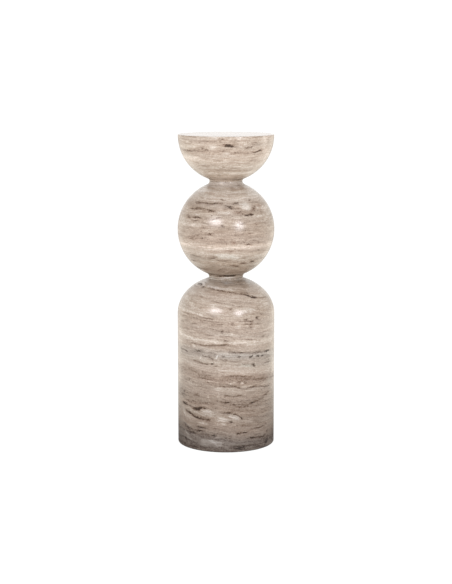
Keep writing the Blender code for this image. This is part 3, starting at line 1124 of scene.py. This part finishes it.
def patch_change(nodes, place, oval_place, change):
    """The change of the figure (tone, warmth, greyness) within an oval."""
    (azimuth, height), turn, sizes = oval_place
    inputs = {
        "Vector": place,
        "Location": (azimuth, height, 0),
        "Rotation": (0, 0, turn),
        "Scale": (sizes[0] * PATCH_SPREAD, sizes[1] * PATCH_SPREAD, 1),
    }
    inside = nodes.add("Mapping", inputs, vector_type="TEXTURE").outputs[0]
    cone = nodes.add("TexGradient", {0: inside}, gradient_type="SPHERICAL").outputs[1]
    return nodes.scaled(change, cone)


def vein_change(nodes, ways, side, vein):
    """The change of the figure along a line. ways holds the azimuth and height across the piece,
    what a whole and a broken line are cut from, and the piece's lowest and highest points.
    """
    across, up, whole, broken, low, high = ways
    spots = np.array([spot(side, *point) for point in vein.points])
    x = spots[:, 0] / math.pi + 0.5
    y = (spots[:, 1] - low) / (high - low)
    widths = []
    for point in vein.points:
        above = spot(side, point[0], point[1] - vein.width / 2)[1]
        below = spot(side, point[0], point[1] + vein.width / 2)[1]
        widths.append(max(above - below, VEIN_LEAST) * VEIN_SPREAD / (high - low))
    widest = max(widths)
    path = nodes.curve(across, list(zip(x, y)))

    def near_end(end, beside):
        return x[end] * (1 - VEIN_TAPER) + x[beside] * VEIN_TAPER, widths[end]

    tips = [(x[end], VEIN_END * widest) for end in (0, -1)]
    inner = list(zip(x, widths))[1:-1]
    shape = [tips[0], near_end(0, 1), *inner, near_end(-1, -2), tips[1]]
    width = nodes.curve(across, [(a, w / widest) for a, w in shape])
    away = nodes.math("DIVIDE", nodes.math("SUBTRACT", up, path), width)
    away = nodes.math("ABSOLUTE", away)
    start = broken if vein.broken else whole
    inside = nodes.math("MULTIPLY_ADD", away, -1 / widest, start, clamp=True)
    change = (vein.tone, vein.warm, vein.grey)
    return nodes.scaled(tuple(value * VEIN_GAIN for value in change), inside)


def back_ovals(low, high, radius, seed):
    """Ovals for the sides and the back, strewn by chance but always the same."""
    chance = random.Random(seed)
    for _ in range(BACK_PATCHES):
        azimuth = chance.uniform(*BACK_AZIMUTHS) * chance.choice((-1, 1))
        height = chance.uniform(low + BACK_MARGIN, high - BACK_MARGIN)
        across = chance.uniform(*BACK_HALF_SIZES[0]) / radius
        up = chance.uniform(*BACK_HALF_SIZES[1])
        tone = chance.choice([chance.uniform(*tones) for tones in BACK_TONES])
        change = (tone, chance.uniform(*BACK_WARM), chance.uniform(*BACK_GREY))
        yield ((azimuth, height), chance.uniform(*BACK_TILTS), (across, up)), change


def around(change):
    """What to add so that a noise of this strength changes nothing on average."""
    return tuple(-value / 2 for value in change)


def bedding(nodes, height, beds):
    """The figure (tone, warmth, greyness) of the beds. The ramp holds 0 to 1 alone, so warmth and
    greyness are halved and raised in it, and then put back.
    """
    lowest = beds[0].height
    span = beds[-1].height - lowest
    level = nodes.math("DIVIDE", nodes.math("SUBTRACT", height, lowest), span)
    stops = [
        ((bed.height - lowest) / span, (bed.tone, 0.5 + bed.warm / 2, 0.5 + bed.grey / 2))
        for bed in beds
    ]
    return nodes.vector("MULTIPLY_ADD", nodes.ramp(level, stops), (1, 2, 2), (0, -1, -1))


def stone_colour(nodes, tone, warmth, greyness):
    """The colour by tone, tinted by warmth and dulled by greyness."""
    colour = nodes.ramp(tone, TONES)
    tint = nodes.vector("MULTIPLY_ADD", warmth, WARM_TINT, (1, 1, 1))
    colour = nodes.vector("MULTIPLY", colour, tint)
    least, most = SATURATION_RANGE
    saturation = nodes.math("MULTIPLY_ADD", greyness, -GREY_DULLS, 1.0)
    saturation = nodes.math("MAXIMUM", nodes.math("MINIMUM", saturation, most), least)
    return nodes.add("HueSaturation", {"Saturation": saturation, "Color": colour}).outputs[0]


def stone_roughness(nodes, metres, tone, below_top):
    """The roughness by tone, less on the flat top and more at the narrowest part of a neck."""
    (rough_tone, rough), (smooth_tone, smooth) = ROUGHNESS
    roughness = nodes.stepped(tone, rough_tone, smooth_tone, rough, smooth)
    roughness = nodes.math("MULTIPLY", roughness, nodes.stepped(below_top, 0, 1, END_POLISH, 1))
    from_axis = nodes.length(nodes.vector("MULTIPLY", metres, (1, 1, 0)))
    from_axis = nodes.math("ADD", from_axis, nodes.math("SUBTRACT", 1, below_top))
    dulls = nodes.stepped(from_axis, *NECK_REACH, NECK_DULLS, 1)
    return nodes.math("MULTIPLY", roughness, dulls)


def travertine(name, side, dip, bed_rows, patch_rows, veins, seed):
    """Polished travertine with its beds, streaks, patches and veins, in the piece's own metres. Some of
    the patches are painted highlights, reflections and shade.
    """
    material = bpy.data.materials.new(name)
    nodes = Nodes(material, "Principled BSDF")
    low, high = side[-1][1], side[0][1]
    radius = max(x for x, _ in side)
    metres = nodes.add("TexCoord", {}).outputs["Object"]
    x, y, z = nodes.add("SeparateXYZ", {0: metres}).outputs
    azimuth = nodes.math("ARCTAN2", x, nodes.math("MULTIPLY", y, -1))
    place = nodes.add("CombineXYZ", {0: azimuth, 1: z}).outputs[0]
    for scale, reach in PLACE_RIPPLES:
        ripple = nodes.noise(metres, scale, output=1)
        amount = (reach / radius, reach / 2, 0)
        ripple = nodes.vector("MULTIPLY_ADD", ripple, amount, around(amount))
        place = nodes.vector("ADD", ripple, place)

    # The bedding: level planes that dip and wander
    height = nodes.math("MULTIPLY_ADD", x, dip, z)
    for scale, reach in BED_RIPPLES:
        ripple = nodes.noise(metres, scale)
        height = nodes.math("ADD", height, nodes.math("MULTIPLY_ADD", ripple, reach, -reach / 2))
    figure = bedding(nodes, height, [Bed(*row) for row in bed_rows])

    # Streaks along the beds, at four sizes
    layers = nodes.add("CombineXYZ", {0: x, 1: y, 2: height}).outputs[0]

    def stretched(across, up):
        return nodes.vector("MULTIPLY", layers, (across, across, up))

    for scales, change in STREAKS:
        offset = tuple(seed * step for step in STREAK_OFFSETS)
        streak = nodes.noise(
            nodes.vector("ADD", stretched(*scales), offset), detail=STREAK_DETAIL, output=1
        )
        streak = nodes.vector("MULTIPLY_ADD", streak, change, around(change))
        figure = nodes.vector("ADD", streak, figure)

    # The placed patches and veins, some of them painted highlights, reflections and shade, and more for
    # the sides and the back
    split_place = nodes.add("SeparateXYZ", {0: place})
    across = nodes.math("MULTIPLY_ADD", split_place.outputs[0], 1 / math.pi, 0.5)
    up = nodes.math("DIVIDE", nodes.math("SUBTRACT", split_place.outputs[1], low), high - low)
    gaps = nodes.noise(metres, GAPS, FINE_DETAIL)
    broken = nodes.stepped(gaps, *GAP_RANGE, *GAP_STRENGTHS)
    ways = (across, up, 1.0, broken, low, high)
    lines = nodes.summed(vein_change(nodes, ways, side, vein) for vein in veins)
    patches = [Patch(*row) for row in patch_rows]
    ovals = [(oval(side, patch), (patch.tone, patch.warm, patch.grey)) for patch in patches]
    ovals += back_ovals(low, high, radius, seed)
    blots_and_painted_light = nodes.summed(patch_change(nodes, place, *item) for item in ovals)

    # The flat ends are cut across the beds and show the streaks alone
    below_top = nodes.stepped(z, high - END_REACH[1], high - END_REACH[0], 1, 0)
    above_foot = nodes.stepped(z, low + END_REACH[0], low + END_REACH[1])
    wear = nodes.noise(stretched(*WEAR))
    share = nodes.math("MULTIPLY", nodes.stepped(wear, *WEAR_RANGE, *WEAR_SHARE), below_top)
    share = nodes.math("MULTIPLY", share, above_foot)
    marks = nodes.scaled(nodes.vector("ADD", lines, blots_and_painted_light), share)
    figure = nodes.vector("ADD", figure, marks)

    # Specks and grain
    specks = nodes.noise(stretched(*SPECKS), detail=FINE_DETAIL)
    specks = nodes.stepped(specks, *SPECK_RANGE, 0, SPECK_TONE)
    grain_scale, grain_tone = GRAIN
    grain = nodes.noise(metres, grain_scale, FINE_DETAIL)
    grain = nodes.math("MULTIPLY_ADD", grain, grain_tone, -grain_tone / 2)
    tone, warmth, greyness = nodes.add("SeparateXYZ", {0: figure}).outputs
    tone = nodes.math("ADD", nodes.math("ADD", tone, specks), grain, clamp=True)

    colour = stone_colour(nodes, tone, warmth, greyness)
    roughness = stone_roughness(nodes, metres, tone, below_top)
    (dull_tone, dull), (clear_tone, clear) = MIRRORING
    mirroring = nodes.stepped(tone, dull_tone, clear_tone, dull, clear)
    relief = nodes.math("MULTIPLY", nodes.math("ADD", specks, grain), below_top)
    bump = {"Strength": BUMP_STRENGTH, "Distance": BUMP_DISTANCE, "Height": relief}
    nodes.feed(nodes.inputs["Base Color"], colour)
    nodes.feed(nodes.inputs["Roughness"], roughness)
    nodes.feed(nodes.inputs["Specular IOR Level"], mirroring)
    nodes.feed(nodes.inputs["Normal"], nodes.add("Bump", bump).outputs[0])
    nodes.inputs["IOR"].default_value = STONE_IOR
    return material


def column_piece(node, side, material, change=None):
    """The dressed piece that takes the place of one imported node."""
    piece = turned(node + "_stone", side, change)
    piece.data.materials.append(material)
    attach(piece, "root")
    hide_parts(node)
    return piece


def make_camera():
    """The photograph's camera."""
    data = bpy.data.cameras.new("camera")
    data.lens = CAMERA_LENS
    data.sensor_width = SENSOR_SIZE
    data.clip_start, data.clip_end = CAMERA_CLIP
    camera = bpy.data.objects.new("camera", data)
    camera.location = (0, -CAMERA_DISTANCE, CAMERA_HEIGHT)
    camera.rotation_euler = (math.pi / 2 - CAMERA_PITCH, 0, 0)
    bpy.context.scene.collection.objects.link(camera)
    bpy.context.scene.camera = camera


def area_light(name, azimuth, elevation, distance, size, power):
    """A round soft box aimed at the column's middle. Azimuth 0 is the camera's side."""
    middle = Vector((0, 0, LIGHTS_AIM))
    a, e = math.radians(azimuth), math.radians(elevation)
    way = Vector((math.sin(a) * math.cos(e), -math.cos(a) * math.cos(e), math.sin(e)))
    data = bpy.data.lights.new(name, "AREA")
    data.shape = "ELLIPSE"
    data.size, data.size_y = size
    data.energy = power
    data.color = BOX_COLOUR
    light = bpy.data.objects.new(name, data)
    light.location = middle + way * distance
    light.rotation_euler = (-way).to_track_quat("-Z", "Y").to_euler()
    bpy.context.scene.collection.objects.link(light)


def make_world():
    """White surroundings, brightest behind the column and overhead, and warm at the sides."""
    world = bpy.data.worlds.new("studio")
    nodes = Nodes(world, "Background")
    place = nodes.add("TexCoord", {}).outputs["Generated"]
    x, y, z = nodes.add("SeparateXYZ", {0: place}).outputs
    behind = nodes.math("POWER", nodes.stepped(y, -1, 1), WORLD_RISE)
    fade = nodes.stepped(behind, 0, 1, WORLD_FRONT, WORLD_BACK)
    above = nodes.math("POWER", nodes.add("Clamp", {0: z}).outputs[0], WORLD_TOP_RISE)
    strength = nodes.math("MULTIPLY_ADD", above, WORLD_TOP, fade)
    seen = nodes.add("LightPath", {}).outputs["Is Camera Ray"]
    aside = nodes.math("SUBTRACT", nodes.math("ABSOLUTE", x), seen, clamp=True)
    nodes.feed(nodes.inputs["Color"], nodes.mixed(aside, WHITE, WORLD_SIDES))
    nodes.feed(nodes.inputs["Strength"], strength)
    bpy.context.scene.world = world


def make_floor():
    """A pale floor, which glows white to the eye and throws warm light on the column."""
    mesh = bpy.data.meshes.new("floor")
    corners = [(-1, -1), (1, -1), (1, 1), (-1, 1)]
    points = [(x * FLOOR_REACH, y * FLOOR_REACH, 0) for x, y in corners]
    mesh.from_pydata(points, [], [(0, 1, 2, 3)])
    floor = bpy.data.objects.new("floor", mesh)
    bpy.context.scene.collection.objects.link(floor)
    floor.location.z = -FLOOR_DROP
    material = bpy.data.materials.new("floor")
    nodes = Nodes(material, "Principled BSDF")
    place = nodes.add("TexCoord", {}).outputs["Object"]
    away = nodes.length(place)
    near = nodes.stepped(away, *BOUNCE_REACH, *BOUNCE)
    back = nodes.add("SeparateXYZ", {0: place}).outputs["Y"]
    straight_back = nodes.stepped(nodes.math("DIVIDE", back, away), *BACK_REACH, 1, BOUNCE_BACK)
    thrown = nodes.math("MULTIPLY", near, straight_back)
    seen = nodes.add("LightPath", {}).outputs["Is Camera Ray"]
    glow = nodes.add("Mix", {0: seen, 2: thrown, 3: FLOOR_GLOW}).outputs[0]
    behind = nodes.stepped(back, *BEHIND_REACH)
    colour = nodes.mixed(behind, BOUNCE_COLOUR, BEHIND_COLOUR)
    nodes.feed(nodes.inputs["Emission Strength"], glow)
    nodes.feed(nodes.inputs["Emission Color"], nodes.mixed(seen, colour, WHITE))
    nodes.inputs["Base Color"].default_value = (FLOOR_WHITE, FLOOR_WHITE, FLOOR_WHITE, 1)
    nodes.inputs["Roughness"].default_value = FLOOR_ROUGHNESS
    nodes.inputs["Specular IOR Level"].default_value = 0
    mesh.materials.append(material)


make_camera()
make_world()
area_light("left_box", *LEFT_BOX)
area_light("right_box", *RIGHT_BOX)
make_floor()
TOP_SIDE, BALL_SIDE, DRUM_SIDE = half_sphere_side(), sphere_side(), drum_side()
TOP_FIGURE = (TOP_DIP, TOP_BEDS, TOP_PATCHES, TOP_VEINS, 1)
BALL_FIGURE = (SPHERE_DIP, SPHERE_BEDS, SPHERE_PATCHES, SPHERE_VEINS, 2)
DRUM_FIGURE = (DRUM_DIP, DRUM_BEDS, DRUM_PATCHES, DRUM_VEINS, 3)
TOP_STONE = travertine("top_stone", TOP_SIDE, *TOP_FIGURE)
BALL_STONE = travertine("sphere_stone", BALL_SIDE, *BALL_FIGURE)
DRUM_STONE = travertine("drum_stone", DRUM_SIDE, *DRUM_FIGURE)
column_piece("half_sphere_top", TOP_SIDE, TOP_STONE)
column_piece("sphere", BALL_SIDE, BALL_STONE)
column_piece("domed_drum", DRUM_SIDE, DRUM_STONE, chipped)
bpy.context.scene.view_settings.view_transform = "Standard"
